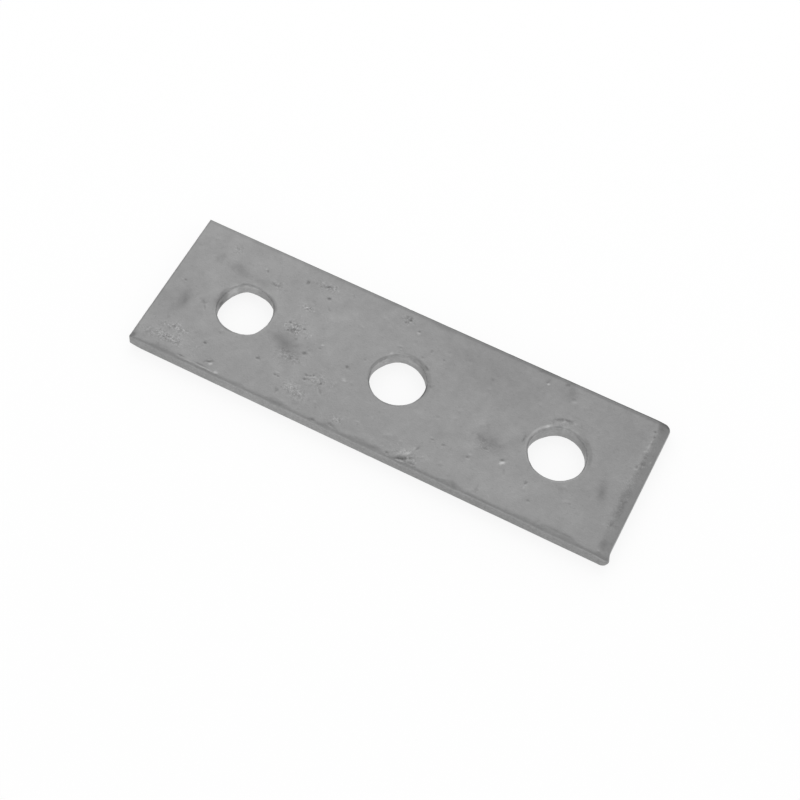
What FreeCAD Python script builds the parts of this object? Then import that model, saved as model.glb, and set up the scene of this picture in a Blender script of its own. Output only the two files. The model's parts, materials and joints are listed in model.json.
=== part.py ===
"""Galvanised flat bar plate with a row of punched round holes, in millimetres.

The origin is the centre of the bottom face. +X runs along the plate, +Y across it and +Z up.
"""

import FreeCAD, Part

import math
import os

from FreeCAD import Vector

# Flat bar that the plate is cut from
BAR_WIDTH = 50.0
BAR_THICKNESS = 5.0
BAR_EDGE_RADIUS = 0.9  # the rolled bar's four long edges

# Row of holes on the bar's centre line
HOLE_COUNT = 3
HOLE_PITCH = 53.3
HOLE_DIAMETER = 17.3
END_LENGTH = 26.7  # from each sheared end to the nearest hole's centre

# Rims of the punched holes
ENTRY_RIM_RADIUS = 0.8  # drawn down by the punch, on the top face
EXIT_RIM_RADIUS = 0.3  # left by the die, on the bottom face

# Sheared ends: the right one is drawn down at the top, and the left one up at the bottom
SHEAR_ROLL_LENGTH = 4.0
SHEAR_ROLL_DEPTH = 0.8
SHEAR_EDGE_RADIUS = 0.25  # the other edge of each end, softened by the zinc
CORNER_RADIUS = 0.4  # the four upright corners, seen from above

PLATE_LENGTH = 2 * END_LENGTH + (HOLE_COUNT - 1) * HOLE_PITCH

Y_AXIS = Vector(0, 1, 0)
Z_AXIS = Vector(0, 0, 1)


def arc(centre, radius, start_deg, end_deg):
    """Arc in the XZ plane, with its angles measured from +X towards +Z."""
    points = []
    for angle in (start_deg, (start_deg + end_deg) / 2, end_deg):
        turn = math.radians(angle)
        points.append(centre + Vector(radius * math.cos(turn), 0, radius * math.sin(turn)))
    return Part.Arc(*points).toShape()


def line(start, end):
    return Part.LineSegment(start, end).toShape()


def last_point(edge):
    return edge.valueAt(edge.LastParameter)


def first_point(edge):
    return edge.valueAt(edge.FirstParameter)


def side_outline():
    """Plate seen along its width. Half a turn about its middle brings it onto itself."""
    half_length = PLATE_LENGTH / 2
    roll_radius = (SHEAR_ROLL_LENGTH**2 + SHEAR_ROLL_DEPTH**2) / (2 * SHEAR_ROLL_DEPTH)
    roll_turn = math.degrees(math.atan2(SHEAR_ROLL_LENGTH, roll_radius - SHEAR_ROLL_DEPTH))

    edge_centre = Vector(-half_length + SHEAR_EDGE_RADIUS, 0, BAR_THICKNESS - SHEAR_EDGE_RADIUS)
    roll_centre = Vector(half_length - SHEAR_ROLL_LENGTH, 0, BAR_THICKNESS - roll_radius)
    left_edge = arc(edge_centre, SHEAR_EDGE_RADIUS, 180, 90)
    right_roll = arc(roll_centre, roll_radius, 90, 90 - roll_turn)

    turned = []
    for edge in (left_edge, right_roll):
        copy = edge.copy()
        copy.rotate(Vector(0, 0, BAR_THICKNESS / 2), Y_AXIS, 180)
        turned.append(copy)
    right_edge, left_roll = turned

    corners = [left_edge, right_roll, right_edge, left_roll]
    edges = []
    for corner, following in zip(corners, corners[1:] + corners[:1]):
        edges.append(corner)
        edges.append(line(last_point(corner), first_point(following)))
    return Part.Face(Part.Wire(edges))


def rounded_block(length, width, height, radius):
    """Block on the XY plane, centred on the Z axis, with its upright edges rounded."""
    block = Part.makeBox(length, width, height, Vector(-length / 2, -width / 2, 0))
    upright = [edge for edge in block.Edges if edge.Vertexes[0].Z != edge.Vertexes[1].Z]
    return block.makeFillet(radius, upright)


def rolled_bar():
    """Bar with its four long edges rounded."""
    bar = rounded_block(BAR_THICKNESS, BAR_WIDTH, PLATE_LENGTH, BAR_EDGE_RADIUS)
    bar.rotate(Vector(0, 0, 0), Y_AXIS, 90)
    bar.translate(Vector(-PLATE_LENGTH / 2, 0, BAR_THICKNESS / 2))
    return bar


def sheared_blank():
    """Bar cut to length, with the drawn ends and the corners that the shear leaves."""
    side = side_outline().extrude(BAR_WIDTH * Y_AXIS)
    side.translate(-BAR_WIDTH / 2 * Y_AXIS)
    plan = rounded_block(PLATE_LENGTH, BAR_WIDTH, BAR_THICKNESS, CORNER_RADIUS)
    return rolled_bar().common(side).common(plan)


def hole_cutter(x):
    """What a punch takes out: a cylinder that opens into a round rim at each face."""
    radius = HOLE_DIAMETER / 2
    entry_height = BAR_THICKNESS - ENTRY_RIM_RADIUS
    entry_rim = arc(Vector(radius + ENTRY_RIM_RADIUS, 0, entry_height), ENTRY_RIM_RADIUS, 180, 90)
    exit_rim = arc(Vector(radius + EXIT_RIM_RADIUS, 0, EXIT_RIM_RADIUS), EXIT_RIM_RADIUS, 270, 180)
    on_axis_low = Vector(0, 0, 0)
    on_axis_high = Vector(0, 0, BAR_THICKNESS)
    outline = Part.Wire(
        [
            line(on_axis_low, first_point(exit_rim)),
            exit_rim,
            line(last_point(exit_rim), first_point(entry_rim)),
            entry_rim,
            line(last_point(entry_rim), on_axis_high),
            line(on_axis_high, on_axis_low),
        ]
    )
    cutter = Part.Face(outline).revolve(Vector(0, 0, 0), Z_AXIS, 360)
    cutter.translate(Vector(x, 0, 0))
    return cutter


def hole_places():
    first = -(HOLE_COUNT - 1) * HOLE_PITCH / 2
    return [first + number * HOLE_PITCH for number in range(HOLE_COUNT)]


def plate():
    return sheared_blank().cut([hole_cutter(x) for x in hole_places()])


os.makedirs("parts", exist_ok=True)
plate().exportStep("parts/plate.step")
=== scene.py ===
"""Hot-dip galvanised flat bar plate: its zinc surface, a camera and a plain studio.

Sizes and places are in millimetres in the plate's own frame, and meshes are written in metres.
"""

import json
import math

import bmesh
import bpy
import numpy as np
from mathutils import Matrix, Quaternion, Vector, noise


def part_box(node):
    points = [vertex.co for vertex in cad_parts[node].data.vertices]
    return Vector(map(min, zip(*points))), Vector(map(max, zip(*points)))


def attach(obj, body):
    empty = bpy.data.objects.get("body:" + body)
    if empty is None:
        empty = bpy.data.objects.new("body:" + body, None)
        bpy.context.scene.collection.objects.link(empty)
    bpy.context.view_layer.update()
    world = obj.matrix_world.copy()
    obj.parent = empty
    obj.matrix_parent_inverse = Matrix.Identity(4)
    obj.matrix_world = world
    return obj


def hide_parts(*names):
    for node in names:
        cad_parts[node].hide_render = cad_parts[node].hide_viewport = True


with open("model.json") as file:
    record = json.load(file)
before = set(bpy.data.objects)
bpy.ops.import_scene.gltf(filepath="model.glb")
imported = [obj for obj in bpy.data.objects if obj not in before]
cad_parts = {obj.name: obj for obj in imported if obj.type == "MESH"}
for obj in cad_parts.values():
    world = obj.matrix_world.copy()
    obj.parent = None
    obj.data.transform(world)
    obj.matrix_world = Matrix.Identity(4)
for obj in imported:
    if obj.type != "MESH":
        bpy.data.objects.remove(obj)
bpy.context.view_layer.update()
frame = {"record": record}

MM = 0.001

# The plate, as the frame holds it
_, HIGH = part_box("plate")
HALF_LENGTH = HIGH.x / MM
HALF_WIDTH = HIGH.y / MM
THICKNESS = HIGH.z / MM
BORES = [mount for mount in frame["record"]["mounts"] if mount["kind"] == "bore"]
# From the left, and numbered 0, 1 and 2 in the tables below
HOLES = sorted((bore["pos_m"][0] / MM, bore["pos_m"][1] / MM) for bore in BORES)
HOLE_RADIUS = BORES[0]["dims"]["r_mm"]

# Mesh cells of the underside. The top's are half as large each way, and a quarter as large
# round its pits and pimples.
CELL = 0.9
EDGE_CELL = 0.5
EDGE_ZONE = 2.0  # next to the plate's edges and the hole rims, where the cells are finer
WALL_CELL = 0.42  # height of the cells on the sides and in the holes
MARK_MARGIN = 0.5  # how far past a pit or pimple the finest cells go
COLLAR = 12.0  # half the side of the square round each hole that its rings fill
COLLAR_RINGS = 4

# Rounded edges, and the ends that the shear rolled over
ENTRY_RIM = 0.8
EXIT_RIM = 0.3
LONG_EDGE = 0.9
SHEARED_EDGE = 0.25
ROLL_LENGTH = 4.0
ROLL_DEPTH = 0.8
ROLL_POWER = 1.3  # 1 is a straight slope, and 2 a round one
ROLL_WAVE = 1.0  # how far the start of the roll wanders
# Where the roll is longer: y, length, extra
ROLL_SWELLS = [(-6, 9, 0.7), (-20, 5, 0.3), (15, 10, -0.7)]

LEFT_SLANT = 0.14  # how far the shear's slanted cut brings in the left end's top
FAR_SWELL = 0.16  # how far the far side swells out towards the right end

# Swells of the zinc along the near top edge, where the rounding reaches further in:
# x, length, extra
EDGE_SWELLS = [
    (-68, 6, 1.3),
    (-42, 3, 0.5),
    (-29, 7, 1.0),
    (-16.5, 2, 0.6),
    (-11, 5, 1.2),
    (-1, 7, 0.9),
    (4.5, 4, 1.1),
    (13.5, 5, 0.8),
    (30, 5, 1.2),
    (54, 6, 0.5),
    (61, 8, 1.2),
    (67, 6, 1.1),
]

# Upright corners, seen from above: x side, y side, radius at the bottom and at the top
CORNERS = [(-1, 1, 0.3, 0.3), (-1, -1, 0.3, 0.6), (1, -1, 1.7, 0.8), (1, 1, 0.5, 2.4)]

# Bead of zinc where the plate drained, at the near right corner
BEAD = (80.0, -24.3, 2.4)
BEAD_RADIUS = 2.6
BEAD_HEIGHT = 0.9
BEAD_FADE = 1.6

# Marks on the top face: x, y, length, width, turn in degrees, height, shade. For some marks the
# shade is painted shade, and for others a painted highlight
# Wide soft areas across the top face, painted lighter or darker
SOFT_TONES = [
    (-25, 0, 50, 16, 90, 0, 0.02),
    (-70, 14, 26, 22, 0, 0, 0.02),
    (48, -18, 60, 14, 0, 0, 0.075),
    (24, 16, 52, 24, 0, 0, -0.1),
    (0, 23, 170, 20, 0, 0, -0.05),
    (67, 16, 22, 20, 0, 0, -0.05),
    (19, -10.5, 6.5, 7, 0, 0, -0.08),
    (10.5, -7, 5, 3, 20, 0, 0.03),
    (-76, -4, 14, 40, 0, 0, -0.06),
]
# Dark smudges and light scuffs of the zinc, with painted shade on the rolled right end and the top
# edges
SMUDGES_AND_PAINTED_SHADE = [
    (-61.2, 12.3, 9, 5, -15, 0.02, -0.19),
    (-69.3, 14.3, 4, 3, 40, 0, -0.16),
    (-71.8, -4.2, 7, 4.5, 80, 0.02, -0.2),
    (-72.3, -8.5, 9, 5, 75, 0, -0.15),
    (-39, -3.6, 6.5, 3.8, 0, 0.02, -0.1),
    (-36, -4.6, 6, 4.2, -10, 0.02, -0.11),
    (-32.8, -6.4, 6, 2.4, 0, 0, -0.13),
    (-36.8, -4.4, 14, 8, -16, 0, -0.2),
    (-32.7, -8.6, 2.4, 2, 0, 0, -0.1),
    (-7, 21.6, 3.4, 3, 0, 0, -0.1),
    (48.5, 21, 5.5, 2.8, 105, 0, -0.2),
    (34.2, -6.2, 9.5, 5.4, -12, -0.02, -0.22),
    (30.6, -5.8, 2.2, 2.8, 30, -0.02, -0.12),
    (70.2, -5.2, 8.5, 3.2, -72, 0, -0.28),
    (58.7, -9.8, 3, 2.2, 0, 0.03, -0.08),
    # Partly painted shade: the rolled right end, darker along its start
    (77.2, -7, 11, 2.4, 90, 0, -0.2),
    (77.3, 8, 8, 2.2, 90, 0, -0.1),
    (77.5, -20.5, 4.4, 3, 90, 0, -0.22),
    (77.6, 23, 4, 3, 0, 0, -0.2),
    (-78.9, -23.6, 2.6, 1.6, 90, -0.08, -0.33),
    (-55, 11.8, 12, 4, -5, 0, -0.06),
    (29.5, -10.5, 5, 4, 0, 0, 0.05),
    (-28, -17, 4.5, 2.4, 0, 0.03, 0.06),
    (-28, 10, 3.5, 2.5, 0, 0.03, 0.05),
    (-24.5, -20.5, 3, 2, 0, 0.03, 0.05),
    (5.8, -18.2, 2.6, 1.6, 0, 0.05, 0.06),
    (8.6, -18, 2, 2.4, 0, -0.03, -0.07),
    (50.8, 18.4, 2, 1.3, 30, 0.02, 0.16),
    (13.6, -21.5, 3.4, 1.4, 22, 0.06, 0.18),
    (61.8, -13.2, 3, 0.9, 20, 0.02, 0.1),
    # Painted shade: dark lines along the far, left and near top edges
    (4.8, 23.4, 7, 1.8, 0, 0, -0.14),
    (39.5, 24, 8, 1.6, 0, 0, -0.15),
    (-79.7, 0, 60, 0.7, 90, 0, -0.25),
    (65, -22.9, 9, 0.9, 0, 0, -0.16),
    (30.5, -23.7, 3.4, 1.6, -30, 0, -0.2),
    (4, -23.7, 8, 1, 8, 0, -0.14),
    (-28.8, -24, 5, 1.2, 0, 0, -0.2),
    (-68, -24, 9, 1.1, 0, 0, -0.14),
]
# Pits, darkened partly as the zinc's own dark specks and partly as painted shade in their hollows
PITS_AND_PAINTED_SHADE = [
    (-62.3, -23.4, 2.6, 0.7, 0, -0.05, -0.25),
    (-55.5, -23.4, 4.5, 0.5, 0, -0.04, -0.2),
    (-54, 15.9, 1.5, 0.7, -58, -0.08, -0.25),
    (-49.2, 12.5, 3.9, 1, 5, -0.06, -0.13),
    (-75, 1, 0.9, 0.7, 0, -0.08, -0.11),
    (-66.2, -3.3, 2, 1.1, -30, -0.05, -0.2),
    (-64.7, -5.1, 2, 0.6, -50, -0.05, -0.1),
    (-72.9, -13.3, 1.4, 1, 90, -0.03, -0.1),
    (-58.1, -16.1, 1.1, 1, 0, -0.14, -0.26),
    (-53.8, -21.2, 2, 0.8, 25, -0.06, -0.5),
    (-41.4, -13.3, 0.9, 0.7, 0, -0.1, -0.18),
    (-33.9, -15.9, 0.8, 0.7, 0, -0.08, -0.14),
    (-32.7, -15.9, 0.8, 0.6, 0, -0.08, -0.13),
    (-30.7, -20.6, 1.4, 1, 60, -0.06, -0.12),
    (-29.5, -5.1, 1.7, 1.4, 40, -0.1, -0.22),
    (-40.7, 18.1, 1, 0.7, -60, -0.08, -0.3),
    (-34.4, 19.6, 2.2, 1.1, 35, -0.06, -0.28),
    (-32.3, 15.9, 1.2, 0.9, 0, -0.12, -0.24),
    (-30.4, 12.5, 2.2, 0.6, -45, -0.04, -0.1),
    (-38.7, 2.7, 0.8, 0.7, 0, -0.1, -0.18),
    (-36.9, 2.7, 0.8, 0.7, 0, -0.1, -0.16),
    (-36, 2.6, 0.9, 0.7, 0, -0.1, -0.18),
    (-35.1, 2.4, 0.7, 0.6, 0, -0.08, -0.13),
    (-33.7, 2.5, 0.9, 0.8, 0, -0.12, -0.25),
    (-37.6, 0, 1.5, 0.6, 40, -0.06, -0.13),
    (-26.2, -1.3, 0.8, 0.6, 0, -0.05, -0.1),
    (-6.2, 20.9, 0.9, 0.8, 0, -0.1, -0.2),
    (-7.2, 19.7, 0.8, 0.6, 0, -0.06, -0.13),
    (-2, 18.5, 0.8, 0.7, 0, -0.1, -0.18),
    (4.5, 14, 0.8, 1, 0, -0.05, -0.1),
    (9.2, 12.9, 1.1, 0.8, 30, -0.07, -0.13),
    (-12.1, 1.7, 0.9, 0.7, 0, -0.05, -0.1),
    (-15.8, -3.3, 1.3, 1, -40, -0.12, -0.22),
    (-25.2, -11.6, 0.8, 0.6, 0, -0.08, -0.13),
    (-24.1, -11.1, 0.8, 0.6, 0, -0.08, -0.13),
    (-23.3, -10.6, 0.8, 0.7, 0, -0.1, -0.17),
    (-25.1, -13, 1.3, 1, 0, -0.1, -0.2),
    (-20, -12.2, 0.8, 0.9, 0, -0.12, -0.22),
    (-19.3, -14.5, 2, 0.8, -50, -0.05, -0.12),
    (-17.7, -20.1, 2.5, 0.6, -62, -0.04, -0.07),
    (-9.2, -20.7, 1.1, 0.7, 0, -0.06, -0.11),
    (-10.7, -23.2, 2.2, 0.8, -10, -0.04, -0.1),
    (-16.4, -24.2, 1.3, 0.9, 0, -0.12, -0.18),
    (8.3, -23.6, 1.1, 0.9, -30, -0.08, -0.18),
    (13.1, -23.4, 3.1, 1.3, 18, -0.16, -0.32),
    (16.5, -23.5, 2, 0.8, 0, -0.06, -0.14),
    (15.9, -18.3, 0.8, 1.2, 0, -0.08, -0.14),
    (18.4, -13.3, 1, 0.6, 0, -0.05, -0.1),
    (22.1, -13.5, 1.1, 0.8, 20, -0.06, -0.11),
    (25.4, 13.5, 1.1, 1.4, 0, -0.04, -0.1),
    (40.6, 20.9, 1, 1, 0, -0.06, -0.13),
    (46.8, 23, 0.8, 1.3, 0, -0.06, -0.18),
    (49, 10.7, 4, 1.3, 36, -0.04, -0.22),
    (51.5, 11.7, 3.4, 1.3, 10, -0.05, -0.33),
    (42.4, -0.3, 0.9, 2.4, 5, -0.05, -0.3),
    (34.1, -8.6, 1.4, 0.6, 0, -0.05, -0.1),
    (39.7, -9.7, 1.3, 0.7, 20, -0.06, -0.4),
    (41.9, -13.5, 2.2, 0.7, -65, -0.05, -0.11),
    (30.1, -13.7, 1, 0.9, 0, -0.07, -0.12),
    (49.1, -13.3, 1.1, 1.4, 0, -0.06, -0.11),
    (52.1, -18.3, 1.3, 1, 0, -0.06, -0.12),
    (63.4, -13.6, 0.8, 1, 0, -0.04, -0.07),
    (37.3, -22.7, 2.5, 0.8, -70, -0.05, -0.1),
    (76.3, 20.6, 1, 0.8, 0, -0.05, -0.3),
    (76.8, 18.8, 0.7, 0.9, 0, -0.05, -0.25),
    (77.1, 11.2, 1, 0.8, 0, -0.03, -0.22),
    (77, 8.8, 0.8, 1, 0, -0.03, -0.18),
    (76, 6.9, 1, 1.2, 0, -0.05, -0.2),
    (76.9, -14, 0.9, 0.9, 0, -0.05, -0.2),
]
# Pimples, lighter partly as the zinc's own light specks and partly as painted highlights, some on
# the lit wall of a pit beside them
PIMPLES_AND_PAINTED_HIGHLIGHTS = [
    (-59.5, -24.05, 3.5, 0.6, 0, 0.04, 0.14),
    (-54, -23.95, 4, 0.5, 0, 0.05, 0.35),
    (-49.8, -23.85, 1.2, 0.6, 0, 0.05, 0.35),
    (-52.9, -21.8, 1.5, 0.9, 30, 0.03, 0.6),
    (-54.7, 16.35, 0.9, 0.7, 0, 0.04, 0.3),
    (-76, 0.85, 1.2, 0.7, 0, 0.03, 0.09),
    (-58.6, -15.05, 1.4, 0.7, 0, 0.03, 0.07),
    (-38, 2.15, 0.9, 0.7, 0, 0.05, 0.18),
    (-38.6, 0.15, 1, 0.6, 0, 0.04, 0.13),
    (-38, 9.85, 1.2, 0.7, 0, 0.05, 0.18),
    (-36.6, 9.85, 1.2, 0.7, 0, 0.05, 0.14),
    (-34.3, 9.65, 1.2, 0.7, 0, 0.05, 0.18),
    (-36.8, 1.85, 0.9, 0.6, 0, 0.04, 0.11),
    (-26, 0.2, 0.9, 0.7, 0, 0.03, 0.36),
    (-18.2, 11.85, 1, 0.7, 0, 0.03, 0.11),
    (-2, 18.1, 1, 0.8, 0, 0.03, 0.4),
    (-4.7, 11.25, 1, 0.7, 0, 0.04, 0.11),
    (-4.2, 10.15, 0.8, 0.6, 0, 0.03, 0.09),
    (-14.4, -7.8, 1.2, 0.7, 0, 0.03, 0.33),
    (-20.9, -10.15, 0.9, 0.6, 0, 0.03, 0.11),
    (-18.6, -18.55, 1.2, 0.6, 0, 0.03, 0.11),
    (-10.6, -20.95, 1.3, 0.7, 0, 0.03, 0.11),
    (-4, -18.45, 1.6, 0.8, 0, 0.03, 0.09),
    (10.3, -18.15, 1.2, 1, 0, 0.02, 0.09),
    (15, -18.75, 0.8, 1.4, 0, 0.04, 0.13),
    (17.8, -12.95, 1, 0.6, 0, 0.03, 0.09),
    (41, 20.45, 0.9, 0.8, 0, 0.03, 0.6),
    (40.3, -10.5, 1.7, 1.2, 25, 0.06, 0.75),
    (30.3, -12.55, 1.4, 0.6, 0, 0.03, 0.11),
    (49.2, -15.15, 0.8, 1.4, 0, 0.03, 0.09),
    (-33.5, -14.75, 1, 0.6, 0, 0.03, 0.09),
    (-6.1, 7.55, 0.8, 0.7, 0, 0.03, 0.4),
    (77, -23.15, 1.4, 0.8, 0, 0.04, 0.14),
    (76.5, 14.85, 0.9, 1.8, 0, 0.03, 0.25),
    (76.6, 16.8, 0.6, 1.2, 0, 0.03, 0.25),
    (76.4, 13, 0.8, 0.8, 0, 0.03, 0.2),
    (75.8, 6, 0.9, 0.8, 0, 0.03, 0.2),
    (79, 10.6, 0.6, 1.2, 0, 0.02, 0.3),
    (53.8, 11.6, 0.9, 1, 0, 0.02, 0.15),
    (52.3, 11, 1.3, 0.8, 40, 0.02, 0.12),
]

RELIEF = 1.8  # the marks' heights are multiplied by this
SMALL_MARK = 4.5  # size below which a mark's outline is more ragged
LARGE_RAGGEDNESS = 0.6  # of a larger mark's outline, where a small one has 1
SPOT_FADE = 1.4  # how fast a mark fades out from its middle
LEAST_FADING = 0.2  # share of that where its ragged outline reaches out furthest

# Gritty and scuffed places on the top face: x, y, length, width, turn, strength
GRIT = [
    (-69, -15.6, 10, 2.6, 0, 1.3),
    (-70, -19.6, 14, 3.6, 0, 1.3),
    (-36.3, 1.8, 6.5, 5, 0, 1.2),
    (-36, 10, 6, 2.4, 0, 1.2),
    (-34, 19.6, 8, 3, 0, 0.8),
    (-22, -12, 8, 6, 20, 0.7),
    (-10, -20.8, 5, 3, 0, 0.8),
    (-26, -18, 9, 6, -20, 0.8),
    (-33, -8, 8, 5, 0, 0.8),
    (-66, 18.5, 4, 2.4, 0, 0.7),
    (-49, 12.8, 6, 2.6, 0, 0.6),
    (-7, 21, 5, 4, 0, 0.7),
    (33, -7.8, 9, 4.5, 0, 0.4),
    (14, -22, 9, 4.5, 0, 0.8),
    (51, 11, 8, 3.6, 15, 0.4),
    (76.8, 0, 46, 3.6, 90, 0.4),
]

# Where a hole is wider than its bore: hole, middle angle from +X towards +Y, spread of the
# angle, and the extra radius at the top and at the bottom, where the punch broke the steel out
HOLE_SWELLS = [
    (0, 113, 30, 0.45, 1.12),
    (0, 42, 22, 0.2, 0.3),
    (0, 52, 16, 0, 0.25),
    (0, 70, 12, 0, 0.3),
    (0, 100, 12, 0, -0.2),
    (0, 190, 30, 0.1, 0.22),
    (0, 315, 14, 0.25, 0),
    (0, 252, 32, -0.28, 0),
    (1, 113, 34, 0.12, 0.6),
    (1, 176, 22, 0.1, 0.5),
    (1, 285, 50, -0.2, 0),
    (2, 335, 24, 0.2, 0.05),
    (2, 174, 24, 0.5, 0.55),
    (2, 100, 40, 0, 0.18),
    (2, 265, 40, -0.14, 0),
]
SWELL_WAVE = 0.06  # how far the walls wander as well

# Where its rims are sharper: hole, middle angle, spread, and what comes off the radius of the
# top and of the bottom rim
SHARP_RIMS = [
    (0, 270, 52, 0.7, 0),
    (0, 347, 22, 0.4, 0),
    (1, 280, 65, 0.65, 0),
    (2, 262, 18, 0.3, 0),
    (2, 90, 70, 0, 0.25),
]

# Patches on a hole's rim and wall, mostly painted light and shade, some the zinc's own tone: hole,
# middle angle, spread of the angle, where the patch starts and ends along the surface, with 0 at
# the sharp rim and less down the wall, and shade
RIM_TONE_AND_PAINTED_LIGHT = [
    (0, 112, 55, -5.5, 0.8, 0.4),
    (0, 105, 40, -0.6, 0.9, 0.4),
    (0, 145, 12, -4.2, 0.3, 0.55),
    (0, 178, 21, -5, 1.5, -0.28),
    (0, 180, 20, -0.5, 0.5, 0.15),
    (0, 178, 8, -4.2, -1.8, -0.35),
    (0, 44, 19, -5, -0.5, -0.35),
    (0, 62, 13, -4.2, -0.5, -0.26),
    (0, 70, 18, -5, 0.9, -0.16),
    (0, 30, 12, -1, 0.4, -0.15),
    (0, 272, 16, -0.6, 0.3, -0.25),
    (0, 303, 14, -0.6, 0.4, 0.15),
    (0, 330, 14, -0.6, 0.3, -0.15),
    (0, 41, 17, 0.4, 1.4, -0.25),
    (0, 52, 14, -0.5, 0.5, 0.1),
    (0, 118, 9, 0.9, 1.4, -0.25),
    (0, 160, 14, 0.7, 1.4, -0.15),
    (0, 238, 26, -0.6, 0.3, -0.3),
    (0, 0, 18, -0.6, 0.3, -0.1),
    (1, 120, 55, -5.5, 0.6, 0.38),
    (1, 110, 30, -0.6, 0.9, 0.35),
    (1, 62, 34, -0.6, 0.5, 0.2),
    (1, 172, 26, -0.6, 0.5, 0.2),
    (1, 160, 26, -4, -0.3, 0.28),
    (1, 38, 18, -5, -0.4, -0.38),
    (1, 3, 16, -1.5, 0.6, -0.3),
    (1, 208, 16, -2.5, 0.4, -0.25),
    (1, 184, 12, -3, -1.2, -0.4),
    (1, 165, 25, 0.4, 1, -0.2),
    (1, 48, 48, 0.4, 1.6, -0.17),
    (1, 56, 5, 1, 1.7, -0.25),
    (1, 350, 24, -0.6, 0.5, -0.35),
    (1, 265, 50, -0.6, 0.3, -0.3),
    (1, 88, 26, 0.7, 1.5, -0.15),
    (1, 85, 18, -2.6, -0.5, 0.2),
    (2, 114, 52, -5.5, 0.5, 0.35),
    (2, 120, 52, -0.6, 0.8, 0.35),
    (2, 28, 32, -3.4, -0.5, -0.25),
    (2, 30, 34, -0.5, 0.5, 0.1),
    (2, 33, 32, 0.4, 1.8, -0.2),
    (2, 152, 30, 0.6, 1.6, 0.25),
    (2, 133, 6, 0.5, 1.4, 0.35),
    (2, 112, 9, 0.3, 0.9, -0.2),
    (2, 275, 85, -0.6, 0.25, -0.3),
    (2, 176, 18, -4.5, 0.8, 0.15),
    (2, 208, 18, -2.5, 0.7, 0.35),
]
PATCH_REACH = 4.0  # how far from the bore the patches may go
PATCH_RAGGEDNESS = 0.4
PATCH_POWER = 4  # the higher this is, the shorter a patch's fading edge

# The near side, lighter towards the left, partly as the zinc's own tone and partly as painted light
SIDE_ZONE = 20.0  # how far from the centre line the long sides' own shades start
NEAR_SIDE_TONE_AND_PAINTED_LIGHT = 0.2
NEAR_SIDE_MIDDLE = -30
NEAR_SIDE_SPREAD = 38
NEAR_EDGE_PAINTED_LIGHT = 0.26  # painted light on its rounded top edge
NEAR_SIDE_GRIT = 0.4
NEAR_LINE_PAINTED_SHADE = -0.13  # painted shade on the wavy line where the rounding starts
NEAR_LINE_WIDTH = 0.45

# Painted shade on the far side's rounded top edge, darker towards the right
FAR_EDGE_PAINTED_SHADE = -0.6
FAR_EDGE_PAINTED_SHADE_CHANGE = -0.25
FAR_LINE_SHARE = 0.35  # share of that painted shade in the line where the rounding starts
FAR_LINE_WIDTH = 0.5

# Faint lumps all over
LUMP_HEIGHT = 0.02
FINE_LUMP_HEIGHT = 0.012

# Random pimples and pits all over
SPECK_COUNT = 220
SPECK_RADIUS = (0.5, 1.1)
SPECK_HEIGHT = 0.05

# Noise on the mesh: how wide its lumps are, and a number that tells it from the others
FINE_RAGGED_NOISE = (0.9, 1)
RAGGED_NOISE = (2.2, 2)
ROLL_NOISE = (5, 3)
FINE_ROLL_NOISE = (1.8, 4)
FINE_ROLL_SHARE = 0.5
LUMP_NOISE = (9, 5)
FINE_LUMP_NOISE = (2.6, 6)
WALL_NOISE = (1.6, 8)
NOISE_SHIFT = Vector((17.3, 5.1, 9.7))  # from one number's noise to the next

# The zinc's colour and gloss
ZINC_GREY = 0.247
METALLIC = 0.8
ROUGHNESS = (0.36, 0.46)
ROUGHNESS_SIZE = 5
CLOUDS = [(16, 0.025), (4.5, 0.025), (1.3, 0.02), (0.6, 0.015)]  # size, change of the shade
DARK_SPECK_SIZE = 0.8
DARK_SPECK_START = 0.85  # level of the noise, from 0 to 1, where a speck starts
DARK_SPECK_TONE = 0.94
GRIT_SIZE = 0.75
GRIT_TONES = (-0.3, 0.18)  # of its darkest and lightest grains
SCUFF_SIZE = 1.1
SCUFF_WIDTH = 0.14  # as a step of the noise, which goes from 0 to 1
SCUFF_TONE = 0.4
NOISE_RANGE = (0.3, 0.7)  # what a noise node gives, nearly always

# Its fine grain
GRAIN_SIZES = (0.5, 1.6)
GRIT_BUMP_SIZE = 0.9
GRIT_BUMP = 4.0  # height in the gritty places, where each size of grain has 1
BUMP_STRENGTH = 0.6
BUMP_HEIGHT = 0.02

# Camera
CAMERA_PLACE = Vector((105.87, -237.82, 452.27))
CAMERA_TARGET = Vector((3.63, -5.68, 5.0))
CAMERA_ROLL = 3.84  # degrees
LENS = 76.79
SENSOR = 36.0

# Studio
HORIZON_LEVEL = 1.0
SKY_LEVEL = 0.93
SKY_START = 0.45  # height of a direction, as a share of its length, where the sky has its own level
DIM_SIDE = Vector((0.2, -0.55, 0.81))  # direction from which the least light comes
DIM_START = 0.6  # cosine of the angle from there where the sky starts to get darker
DIM_SHARE = 0.6
KEY_PLACE = Vector((-450, 1070, 850))
KEY_SIZE = 1600
KEY_LEVEL = 0.8  # radiance, where 1 is white
FILL_PLACE = Vector((450, -1100, 250))
FILL_SIZE = 700
FILL_LEVEL = 0.5
FLOOR_HALF = 20000
FLOOR_BOUNCE = 0.95
SHADOW_SHARE = 0.15  # how much of the floor's shadow the camera sees

TINY = 1e-9
DECIMALS = 5  # that tell the mesh's points apart
SEED = 7


def stations(stops):
    """Grid lines through every stop, as far apart as each says, and one more between every two."""
    lines = [stops[0][0]]
    for (start, step), (end, _) in zip(stops, stops[1:]):
        count = 2 * max(1, round((end - start) / step))
        lines.extend(np.linspace(start, end, count + 1)[1:])
    return np.array(lines)


def grid_quads(points):
    """Quads between the points of a grid, which has rows, columns and coordinates."""
    corners = [points[:-1, :-1], points[1:, :-1], points[1:, 1:], points[:-1, 1:]]
    return list(np.stack(corners, axis=2).reshape(-1, 4, 3))


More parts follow.
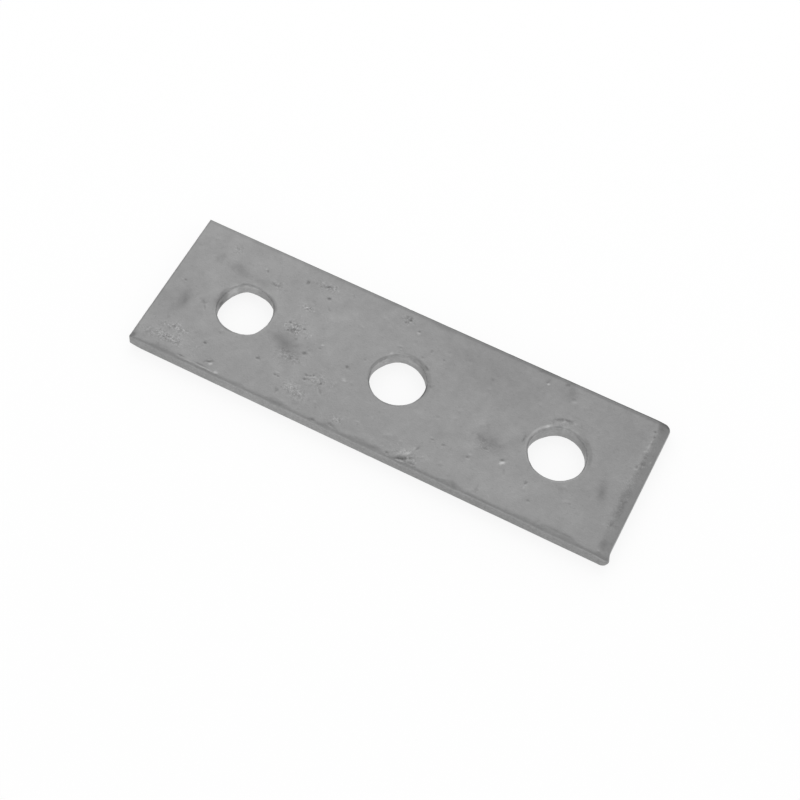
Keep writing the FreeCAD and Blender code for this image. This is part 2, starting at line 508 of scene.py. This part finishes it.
def halving_faces(fine, coarse):
    """Five-sided faces from a ring of points to one with half as many."""
    faces = []
    for number in range(len(coarse) - 1):
        left, middle, right = fine[2 * number : 2 * number + 3]
        faces.append(np.array([left, middle, right, coarse[number + 1], coarse[number]]))
    return faces


def at_height(ring, z):
    return np.column_stack([ring, np.full(len(ring), z)])


def rectangle_ring(across, up):
    """Closed ring of the grid points on a rectangle, anticlockwise from its lower right corner."""
    right = [(across[-1], y) for y in up[:-1]]
    top = [(x, up[-1]) for x in across[:0:-1]]
    left = [(across[0], y) for y in up[:0:-1]]
    bottom = [(x, up[0]) for x in across]
    return np.array(right + top + left + bottom)


def hole_rings(xs, ys, hole):
    """Rings from a hole's wall out to the grid points of the square round it."""
    across = xs[abs(xs - hole[0]) < COLLAR + TINY]
    up = ys[abs(ys - hole[1]) < COLLAR + TINY]
    square = rectangle_ring(across, up)
    steps = np.linalg.norm(np.diff(square, axis=0), axis=1)
    lower_right = -45
    covered = np.concatenate([[0], np.cumsum(steps)])
    turns = np.radians(lower_right + 360 * covered / steps.sum())
    unit = np.column_stack([np.cos(turns), np.sin(turns)])
    unit[-1] = unit[0]
    rim = stations([(HOLE_RADIUS, EDGE_CELL), (HOLE_RADIUS + EDGE_ZONE, EDGE_CELL)])
    rings = [np.array(hole) + radius * unit for radius in rim]
    for share in np.linspace(0, 1, 2 * COLLAR_RINGS + 1)[1:-1]:
        rings.append((1 - share) * rings[len(rim) - 1] + share * square)
    return np.array(rings + [square])


def sheet(xs, ys, z):
    """Flat grid at one height, without the squares round the holes."""
    points = np.stack(np.meshgrid(xs, ys, [z], indexing="ij"), axis=-1)[:, :, 0]
    kept = []
    for quad in grid_quads(points):
        middle = quad.mean(axis=0)
        inside = [max(abs(middle[0] - x), abs(middle[1] - y)) < COLLAR for x, y in HOLES]
        if not any(inside):
            kept.append(quad)
    return kept


def wall(ring, zs):
    """Upright wall on a ring, whose lowest row has half as many points as the rest."""
    faces = grid_quads(np.array([at_height(ring, z) for z in zs[1:]]))
    return faces + halving_faces(at_height(ring, zs[1]), at_height(ring[::2], zs[0]))


def grid_lines():
    """Where the mesh's lines run along, across and up the plate."""
    x_stops = [(-HALF_LENGTH, EDGE_CELL), (-HALF_LENGTH + EDGE_ZONE, CELL)]
    for x, _ in HOLES:
        x_stops += [(x - COLLAR, CELL), (x + COLLAR, CELL)]
    x_stops += [(HALF_LENGTH - 2 * EDGE_ZONE, EDGE_CELL), (HALF_LENGTH, 0)]
    y_stops = [
        (-HALF_WIDTH, EDGE_CELL),
        (-HALF_WIDTH + EDGE_ZONE, CELL),
        (-COLLAR, CELL),
        (COLLAR, CELL),
        (HALF_WIDTH - EDGE_ZONE, EDGE_CELL),
        (HALF_WIDTH, 0),
    ]
    z_stops = [(0, 2 * WALL_CELL), (THICKNESS / 2, 2 * WALL_CELL), (THICKNESS, 0)]
    return stations(x_stops), stations(y_stops), stations(z_stops)


def sharp_plate():
    """Points and faces of the plate with sharp edges."""
    xs, ys, zs = grid_lines()
    faces = wall(rectangle_ring(xs, ys), zs)
    faces += sheet(xs, ys, THICKNESS)
    faces += sheet(xs[::2], ys[::2], 0.0)
    for hole in HOLES:
        rings = hole_rings(xs, ys, hole)
        faces += grid_quads(np.array([at_height(ring, THICKNESS) for ring in rings]))
        faces += grid_quads(np.array([at_height(ring[::2], 0.0) for ring in rings[::2]]))
        faces += wall(rings[0], zs)

    # Rounding makes points that meet equal, and adding 0 does so for 0 and -0
    corners = np.round(np.concatenate(faces), DECIMALS) + 0.0
    points, numbers = np.unique(corners, axis=0, return_inverse=True)
    ends = np.cumsum([len(face) for face in faces])
    return points.tolist(), [part.tolist() for part in np.split(numbers.ravel(), ends[:-1])]


def oval(x, y, mark, margin):
    """Squared distance from a mark's middle, where its outline with the margin is 1."""
    turn = math.radians(mark[4])
    dx, dy = x - mark[0], y - mark[1]
    along = (dx * math.cos(turn) + dy * math.sin(turn)) / (mark[2] / 2 + margin)
    across = (dy * math.cos(turn) - dx * math.sin(turn)) / (mark[3] / 2 + margin)
    return along**2 + across**2


def near_relief(place):
    """Whether a place on the top face is in a pit or pimple, or in the margin round it."""
    return any(oval(place.x, place.y, mark, MARK_MARGIN) < 1 for mark in PITS_AND_PAINTED_SHADE + PIMPLES_AND_PAINTED_HIGHLIGHTS)


def refine(shell):
    """Splits the top's cells again round the pits and pimples."""
    near = []
    for face in shell.faces:
        middle = face.calc_center_median()
        near.append(middle.z > THICKNESS - TINY and near_relief(middle))
    edges = [edge for edge in shell.edges if any(near[face.index] for face in edge.link_faces)]
    bmesh.ops.subdivide_edges(shell, edges=edges, cuts=1, use_grid_fill=True)


def plate_mesh():
    """Closed mesh of the sharp plate, with its faces turned outwards."""
    mesh = bpy.data.meshes.new("zinc_plate")
    points, faces = sharp_plate()
    mesh.from_pydata(points, [], faces)
    shell = bmesh.new()
    shell.from_mesh(mesh)
    refine(shell)
    bmesh.ops.recalc_face_normals(shell, faces=shell.faces)
    shell.to_mesh(mesh)
    shell.free()
    return mesh


def get_points(mesh):
    points = np.zeros(3 * len(mesh.vertices))
    mesh.vertices.foreach_get("co", points)
    return points.reshape(-1, 3)


def set_points(mesh, points):
    mesh.vertices.foreach_set("co", points.ravel())
    mesh.update()


def get_normals(mesh):
    normals = np.zeros(3 * len(mesh.vertices))
    mesh.vertices.foreach_get("normal", normals)
    return normals.reshape(-1, 3)


def lumps(points, size, number):
    """Smooth noise from about -1 to 1 at the points, with lumps about as wide as size."""
    shift = NOISE_SHIFT * number
    return np.array([noise.noise(Vector(point) / size + shift) for point in points])


def rounded(depth_a, depth_b, reach_a, reach_b):
    """New depths of points under two faces, once the edge between the faces is rounded."""
    a = np.clip(1 - depth_a / reach_a, 0, 1)
    b = np.clip(1 - depth_b / reach_b, 0, 1)
    pull = np.where((a > 0) & (b > 0), np.maximum(a, b) / np.maximum(np.hypot(a, b), TINY), 1)
    new_a = np.where(a > 0, reach_a * (1 - a * pull), depth_a)
    new_b = np.where(b > 0, reach_b * (1 - b * pull), depth_b)
    return new_a, new_b


def round_edge(points, axis, side, top, reach_in, reach_down):
    """Rounds the edge between one side of the plate and its top or bottom."""
    half = (HALF_LENGTH, HALF_WIDTH)[axis]
    depth = THICKNESS - points[:, 2] if top else points[:, 2]
    across, down = rounded(half - side * points[:, axis], depth, reach_in, reach_down)
    points[:, axis] = side * (half - across)
    points[:, 2] = THICKNESS - down if top else down


def near_edge_reach(x):
    """How far the rounding of the near top edge reaches across the top face."""
    reach = np.full(len(x), LONG_EDGE)
    for middle, length, extra in EDGE_SWELLS:
        swell = extra * np.exp(-(((x - middle) / (length / 2)) ** 2))
        reach = np.maximum(reach, LONG_EDGE + swell)
    return reach


def round_long_edges(points):
    for side in (-1, 1):
        for top in (False, True):
            reach = near_edge_reach(points[:, 0]) if top and side < 0 else LONG_EDGE
            round_edge(points, 1, side, top, reach, LONG_EDGE)


def round_sheared_edges(points):
    for side in (-1, 1):
        for top in (False, True):
            round_edge(points, 0, side, top, SHEARED_EDGE, SHEARED_EDGE)


def round_corners(points):
    for x_side, y_side, low_radius, high_radius in CORNERS:
        radius = low_radius + (high_radius - low_radius) * (points[:, 2] / THICKNESS) ** 2
        across = HALF_LENGTH - x_side * points[:, 0]
        along = HALF_WIDTH - y_side * points[:, 1]
        across, along = rounded(across, along, radius, radius)
        points[:, 0] = x_side * (HALF_LENGTH - across)
        points[:, 1] = y_side * (HALF_WIDTH - along)


def turned_by(turns, angle):
    """How far the turns are from an angle, from -180 to 180 degrees."""
    return (turns - angle + 180) % 360 - 180


def angular(turns, number, marks, column):
    """Sum of one column of a hole's marks, each fading out with the angle from its middle."""
    total = np.zeros(len(turns))
    for mark in marks:
        if mark[0] == number:
            total += mark[column] * np.exp(-((turned_by(turns, mark[1]) / mark[2]) ** 2))
    return total


def round_hole_rims(points):
    """Rounds each hole's rims, and widens the hole where its wall broke out."""
    for number, hole in enumerate(HOLES):
        spoke = points[:, :2] - hole
        distance = np.linalg.norm(spoke, axis=1)
        near = distance < HOLE_RADIUS + EDGE_ZONE
        unit = spoke[near] / distance[near, None]
        turns = np.degrees(np.arctan2(unit[:, 1], unit[:, 0]))
        entry = ENTRY_RIM - angular(turns, number, SHARP_RIMS, 3)
        leaving = EXIT_RIM - angular(turns, number, SHARP_RIMS, 4)
        under_top = THICKNESS - points[near, 2]
        depth, down = rounded(distance[near] - HOLE_RADIUS, under_top, entry, entry)
        depth, up = rounded(depth, THICKNESS - down, leaving, leaving)

        share = up / THICKNESS
        swell = share * angular(turns, number, HOLE_SWELLS, 3)
        swell += (1 - share) * angular(turns, number, HOLE_SWELLS, 4)
        swell += SWELL_WAVE * lumps(points[near], *WALL_NOISE)
        radius = HOLE_RADIUS + depth + swell * np.clip(1 - depth / EDGE_ZONE, 0, 1)
        points[near, :2] = hole + unit * radius[:, None]
        points[near, 2] = up


def roll_ends(points):
    """The shear draws the right end's top down, and pushes the left end's bottom up."""
    across = points * (0, 1, 0)
    wave = lumps(across, *ROLL_NOISE) + FINE_ROLL_SHARE * lumps(across, *FINE_ROLL_NOISE)
    length = ROLL_LENGTH + ROLL_WAVE * wave
    for middle, spread, extra in ROLL_SWELLS:
        length += extra * np.exp(-(((points[:, 1] - middle) / (spread / 2)) ** 2))
    for side in (-1, 1):
        reach = np.clip((side * points[:, 0] - HALF_LENGTH + length) / length, 0, 1)
        share = 1 - ROLL_DEPTH * reach**ROLL_POWER / THICKNESS
        if side > 0:
            points[:, 2] *= share
        else:
            points[:, 2] = THICKNESS - (THICKNESS - points[:, 2]) * share


def slant_left_end(points):
    """Leans the left end, so that it is longer at the bottom."""
    left = np.clip(-points[:, 0] - HALF_LENGTH + EDGE_ZONE, 0, EDGE_ZONE) / EDGE_ZONE
    points[:, 0] += LEFT_SLANT * left * points[:, 2] / THICKNESS


def swell_far_side(points):
    right = np.clip(points[:, 0] / HALF_LENGTH, 0, 1)
    far = np.clip(points[:, 1] - HALF_WIDTH + EDGE_ZONE, 0, EDGE_ZONE) / EDGE_ZONE
    points[:, 1] += FAR_SWELL * right * far


def spot(points, ragged, mark):
    """How far inside a soft ragged oval seen from above each point lies: 1 in its middle."""
    fading = np.maximum(1 + ragged, LEAST_FADING)
    return np.exp(-SPOT_FADE * oval(points[:, 0], points[:, 1], mark, 0) * fading)


def rim_tone_and_painted_light(points, ragged, patch):
    """The same for a patch on a hole's rim or wall; most patches are painted light and shade."""
    number, angle, spread, start, end = patch[:5]
    spoke = points[:, :2] - HOLES[number]
    turn = turned_by(np.degrees(np.arctan2(spoke[:, 1], spoke[:, 0])), angle)
    depth = np.linalg.norm(spoke, axis=1) - HOLE_RADIUS
    along = depth - (THICKNESS - points[:, 2])
    middle, half = (start + end) / 2, (end - start) / 2
    level = np.exp(-((turn / spread) ** PATCH_POWER))
    level *= np.exp(-(((along - middle) / half) ** PATCH_POWER))
    return level * (depth < PATCH_REACH) * (1 + PATCH_RAGGEDNESS * ragged)


def specks(points):
    """Small random pimples and pits all over the plate."""
    rng = np.random.default_rng(SEED)
    heights = np.zeros(len(points))
    for number in rng.choice(len(points), SPECK_COUNT, replace=False):
        radius = rng.uniform(*SPECK_RADIUS)
        height = rng.normal(0, SPECK_HEIGHT)
        distance = np.linalg.norm(points - points[number], axis=1)
        heights += height * np.clip(1 - (distance / radius) ** 2, 0, 1) ** 2
    return heights


def facing(normals, side):
    """How much each point's surface faces the near side, -1, or the far side, 1."""
    return np.clip(side * normals[:, 1], 0, 1)


def tilted(normals, side):
    """1 halfway round the rounded top edge of a long side, and 0 on the flat faces."""
    return 2 * facing(normals, side) * np.clip(normals[:, 2], 0, 1)


def near_side_tone_and_painted_light(points, normals):
    """The near side's own tone with painted light, and painted light on its rounded top edge."""
    along = (points[:, 0] - NEAR_SIDE_MIDDLE) / NEAR_SIDE_SPREAD
    side = NEAR_SIDE_TONE_AND_PAINTED_LIGHT * np.exp(-(along**2)) * facing(normals, -1)
    edge = NEAR_EDGE_PAINTED_LIGHT * tilted(normals, -1)
    return (side + edge) * (points[:, 1] < -SIDE_ZONE)


def near_line_painted_shade(points, on_top):
    """Painted shade on the wavy line where the near edge's rounding starts."""
    away = (HALF_WIDTH + points[:, 1] - near_edge_reach(points[:, 0])) / NEAR_LINE_WIDTH
    return NEAR_LINE_PAINTED_SHADE * np.exp(-(away**2)) * on_top


def far_edge_painted_shade(points, normals, on_top):
    """Painted shade on the far side's rounded top edge, and on the line where it starts."""
    tone = FAR_EDGE_PAINTED_SHADE + FAR_EDGE_PAINTED_SHADE_CHANGE * points[:, 0] / HALF_LENGTH
    edge = tilted(normals, 1) * (points[:, 1] > SIDE_ZONE)
    away = (HALF_WIDTH - LONG_EDGE - points[:, 1]) / FAR_LINE_WIDTH
    line = np.exp(-(away**2)) * on_top
    return tone * np.maximum(edge, FAR_LINE_SHARE * line)


def grittiness(points, normals, ragged, on_top):
    """How gritty the zinc is at each point, where 0 is smooth."""
    level = NEAR_SIDE_GRIT * facing(normals, -1) * (points[:, 1] < -SIDE_ZONE)
    for mark in GRIT:
        level = np.maximum(level, mark[5] * spot(points, ragged, mark) * on_top)
    return level


def add_surface(points, normals):
    """Moves the points to the zinc's bumps, and returns each one's tone, painted light and
    grittiness.
    """
    ragged = lumps(points, *FINE_RAGGED_NOISE) + lumps(points, *RAGGED_NOISE)
    on_top = np.clip(normals[:, 2], 0, 1) * (points[:, 2] > THICKNESS / 2)

    heights = LUMP_HEIGHT * lumps(points, *LUMP_NOISE)
    heights += FINE_LUMP_HEIGHT * lumps(points, *FINE_LUMP_NOISE)
    heights += specks(points)
    shade = np.ones(len(points))
    # The marks' own tones, with painted shade and painted highlights among them
    for mark in SOFT_TONES + SMUDGES_AND_PAINTED_SHADE + PITS_AND_PAINTED_SHADE + PIMPLES_AND_PAINTED_HIGHLIGHTS:
        raggedness = 1 if max(mark[2:4]) < SMALL_MARK else LARGE_RAGGEDNESS
        level = spot(points, raggedness * ragged, mark) * on_top
        heights += RELIEF * mark[5] * level
        shade += mark[6] * level
    # Painted light and shade on the holes' rims and walls, and on the near and far top edges
    for patch in RIM_TONE_AND_PAINTED_LIGHT:
        shade += patch[5] * rim_tone_and_painted_light(points, ragged, patch)
    shade += near_side_tone_and_painted_light(points, normals) + near_line_painted_shade(points, on_top)
    shade += far_edge_painted_shade(points, normals, on_top)
    grit = grittiness(points, normals, ragged, on_top)

    underside = points[:, 2] < TINY
    heights[underside] = -abs(heights[underside])
    points += normals * heights[:, None]
    return {"shade": shade, "grit": grit}


def add_bead(points):
    """Swells the near right corner out into a bead of zinc."""
    away = np.linalg.norm(points - BEAD, axis=1) / BEAD_RADIUS
    points[:, 0] += BEAD_HEIGHT * np.exp(-BEAD_FADE * away**2)


def make_plate():
    mesh = plate_mesh()
    points = get_points(mesh)
    round_long_edges(points)
    round_sheared_edges(points)
    round_corners(points)
    round_hole_rims(points)
    roll_ends(points)
    slant_left_end(points)
    swell_far_side(points)
    set_points(mesh, points)

    for name, values in add_surface(points, get_normals(mesh)).items():
        mesh.attributes.new(name, "FLOAT", "POINT").data.foreach_set("value", values)
    add_bead(points)
    set_points(mesh, points * MM)
    mesh.shade_smooth()
    plate = bpy.data.objects.new("zinc_plate", mesh)
    bpy.context.scene.collection.objects.link(plate)
    return plate


class Nodes:
    """Short calls for the nodes of one material or world."""

    def __init__(self, owner):
        owner.use_nodes = True
        self.tree = owner.node_tree

    def add(self, kind, **settings):
        node = self.tree.nodes.new("ShaderNode" + kind)
        for name, value in settings.items():
            setattr(node, name, value)
        return node

    def link(self, source, target):
        self.tree.links.new(source, target)

    def math(self, operation, first, second):
        node = self.add("Math", operation=operation)
        for socket, value in zip(node.inputs, (first, second)):
            if isinstance(value, (int, float)):
                socket.default_value = value
            else:
                self.link(value, socket)
        return node.outputs[0]

    def noise(self, place, size, detail=2.0, low=0.0, high=1.0):
        """Noise with lumps about as wide as size, in millimetres, from low to high."""
        node = self.add("TexNoise")
        node.inputs["Scale"].default_value = 1 / (size * MM)
        node.inputs["Detail"].default_value = detail
        self.link(place, node.inputs["Vector"])
        return self.stretch(node.outputs["Fac"], *NOISE_RANGE, low, high)

    def stretch(self, source, from_low, from_high, low, high):
        node = self.add("MapRange")
        node.inputs["From Min"].default_value = from_low
        node.inputs["From Max"].default_value = from_high
        node.inputs["To Min"].default_value = low
        node.inputs["To Max"].default_value = high
        self.link(source, node.inputs["Value"])
        return node.outputs[0]


def scuffs(nodes, place, grit):
    """Thin curled lines in the gritty places, 0 off them and as high as the grit on them."""
    level = nodes.noise(place, SCUFF_SIZE, detail=1.0)
    away = nodes.math("ABSOLUTE", nodes.math("SUBTRACT", level, 0.5), 0.0)
    return nodes.math("MULTIPLY", nodes.stretch(away, 0.0, SCUFF_WIDTH, 1.0, 0.0), grit)


def zinc_tone_and_painted_light(nodes, place, grit):
    """The mesh's tone and painted light, with clouds, dark specks, grit and scuffs; 1 is the plain
    zinc.
    """
    tone = nodes.add("Attribute", attribute_name="shade").outputs["Fac"]
    for size, spread in CLOUDS:
        cloud = nodes.noise(place, size, low=1 - spread, high=1 + spread)
        tone = nodes.math("MULTIPLY", tone, cloud)
    speck = nodes.noise(place, DARK_SPECK_SIZE, detail=1.0)
    speck = nodes.stretch(speck, DARK_SPECK_START, 1.0, 1.0, DARK_SPECK_TONE)
    tone = nodes.math("MULTIPLY", tone, speck)
    grain = nodes.noise(place, GRIT_SIZE, detail=1.0, low=GRIT_TONES[0], high=GRIT_TONES[1])
    tone = nodes.math("ADD", tone, nodes.math("MULTIPLY", grain, grit))
    return nodes.math("ADD", tone, nodes.math("MULTIPLY", scuffs(nodes, place, grit), SCUFF_TONE))


def zinc_bump(nodes, place, grit):
    """Normal of the fine grain, which is coarser and higher in the gritty places."""
    fine, coarse = GRAIN_SIZES
    grain = nodes.math("ADD", nodes.noise(place, fine), nodes.noise(place, coarse))
    rough = nodes.noise(place, GRIT_BUMP_SIZE, low=0.0, high=GRIT_BUMP)
    bump = nodes.add("Bump")
    bump.inputs["Strength"].default_value = BUMP_STRENGTH
    bump.inputs["Distance"].default_value = BUMP_HEIGHT * MM
    height = nodes.math("ADD", grain, nodes.math("MULTIPLY", rough, grit))
    nodes.link(height, bump.inputs["Height"])
    return bump.outputs[0]


def zinc():
    """Dull hot-dip zinc: mid grey, faintly clouded, with fine grain and gritty places."""
    material = bpy.data.materials.new("galvanised_steel")
    nodes = Nodes(material)
    shader = nodes.tree.nodes["Principled BSDF"]
    place = nodes.add("TexCoord").outputs["Object"]
    grit = nodes.add("Attribute", attribute_name="grit").outputs["Fac"]

    colour = nodes.add("VectorMath", operation="SCALE")
    colour.inputs[0].default_value = (ZINC_GREY, ZINC_GREY, ZINC_GREY)
    nodes.link(zinc_tone_and_painted_light(nodes, place, grit), colour.inputs["Scale"])
    nodes.link(colour.outputs[0], shader.inputs["Base Color"])

    shader.inputs["Metallic"].default_value = METALLIC
    roughness = nodes.noise(place, ROUGHNESS_SIZE, low=ROUGHNESS[0], high=ROUGHNESS[1])
    nodes.link(roughness, shader.inputs["Roughness"])
    nodes.link(zinc_bump(nodes, place, grit), shader.inputs["Normal"])
    return material


def seen_directly(nodes):
    """1 for rays that come from the camera, or off metal or through glass, and else 0."""
    path = nodes.add("LightPath").outputs
    mirrored = nodes.math("MAXIMUM", path["Is Glossy Ray"], path["Is Transmission Ray"])
    return nodes.math("MAXIMUM", path["Is Camera Ray"], mirrored)


def diffuse(nodes, level):
    node = nodes.add("BsdfDiffuse")
    node.inputs["Color"].default_value = (level, level, level, 1)
    return node.outputs[0]


def mixed(nodes, share, first, second):
    """Mix of two shaders, with that share of the second."""
    node = nodes.add("MixShader")
    if isinstance(share, float):
        node.inputs[0].default_value = share
    else:
        nodes.link(share, node.inputs[0])
    nodes.link(first, node.inputs[1])
    nodes.link(second, node.inputs[2])
    return node.outputs[0]


def floor_white():
    """White floor that shows a faint shadow, and throws a little less light back."""
    material = bpy.data.materials.new("floor_white")
    nodes = Nodes(material)
    white = nodes.add("Emission")
    white.inputs["Strength"].default_value = 1.0
    seen = mixed(nodes, SHADOW_SHARE, white.outputs[0], diffuse(nodes, 1.0))
    surface = mixed(nodes, seen_directly(nodes), diffuse(nodes, FLOOR_BOUNCE), seen)
    nodes.link(surface, nodes.tree.nodes["Material Output"].inputs["Surface"])
    return material


def make_floor():
    mesh = bpy.data.meshes.new("floor")
    half = FLOOR_HALF * MM
    corners = [(-half, -half, 0), (half, -half, 0), (half, half, 0), (-half, half, 0)]
    mesh.from_pydata(corners, [], [(0, 1, 2, 3)])
    mesh.materials.append(floor_white())
    floor = bpy.data.objects.new("floor", mesh)
    bpy.context.scene.collection.objects.link(floor)


def make_camera():
    data = bpy.data.cameras.new("camera")
    data.lens = LENS
    data.sensor_width = SENSOR
    camera = bpy.data.objects.new("camera", data)
    bpy.context.scene.collection.objects.link(camera)
    camera.location = CAMERA_PLACE * MM
    camera.rotation_mode = "QUATERNION"
    aim = (CAMERA_TARGET - CAMERA_PLACE).to_track_quat("-Z", "Y")
    camera.rotation_quaternion = aim @ Quaternion((0, 0, 1), math.radians(CAMERA_ROLL))
    bpy.context.scene.camera = camera


def soft_light(name, place, size, level):
    """Square area light of that radiance, turned to the plate."""
    data = bpy.data.lights.new(name, "AREA")
    data.size = size * MM
    data.energy = level * math.pi * data.size**2
    light = bpy.data.objects.new(name, data)
    light.location = place * MM
    light.rotation_mode = "QUATERNION"
    light.rotation_quaternion = (-place).to_track_quat("-Z", "Y")
    light.visible_camera = False
    bpy.context.scene.collection.objects.link(light)


def make_world():
    """Sky that is white at the horizon and a little darker overhead, most of all on one side."""
    world = bpy.data.worlds.new("studio")
    nodes = Nodes(world)
    direction = nodes.add("TexCoord").outputs["Generated"]
    parts = nodes.add("SeparateXYZ")
    nodes.link(direction, parts.inputs[0])
    level = nodes.stretch(parts.outputs["Z"], 0, SKY_START, HORIZON_LEVEL, SKY_LEVEL)
    nearness = nodes.add("VectorMath", operation="DOT_PRODUCT")
    nodes.link(direction, nearness.inputs[0])
    nearness.inputs[1].default_value = DIM_SIDE.normalized()
    dimming = nodes.stretch(nearness.outputs["Value"], DIM_START, 1.0, 1.0, DIM_SHARE)
    level = nodes.math("MULTIPLY", level, dimming)
    nodes.link(level, nodes.tree.nodes["Background"].inputs["Strength"])
    nodes.tree.nodes["Background"].inputs["Color"].default_value = (1, 1, 1, 1)
    bpy.context.scene.world = world


make_camera()
make_world()
soft_light("key", KEY_PLACE, KEY_SIZE, KEY_LEVEL)
soft_light("fill", FILL_PLACE, FILL_SIZE, FILL_LEVEL)
make_floor()

plate = make_plate()
plate.data.materials.append(zinc())
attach(plate, "root")
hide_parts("plate")

bpy.context.scene.view_settings.view_transform = "Standard"

bpy.context.view_layer.update()
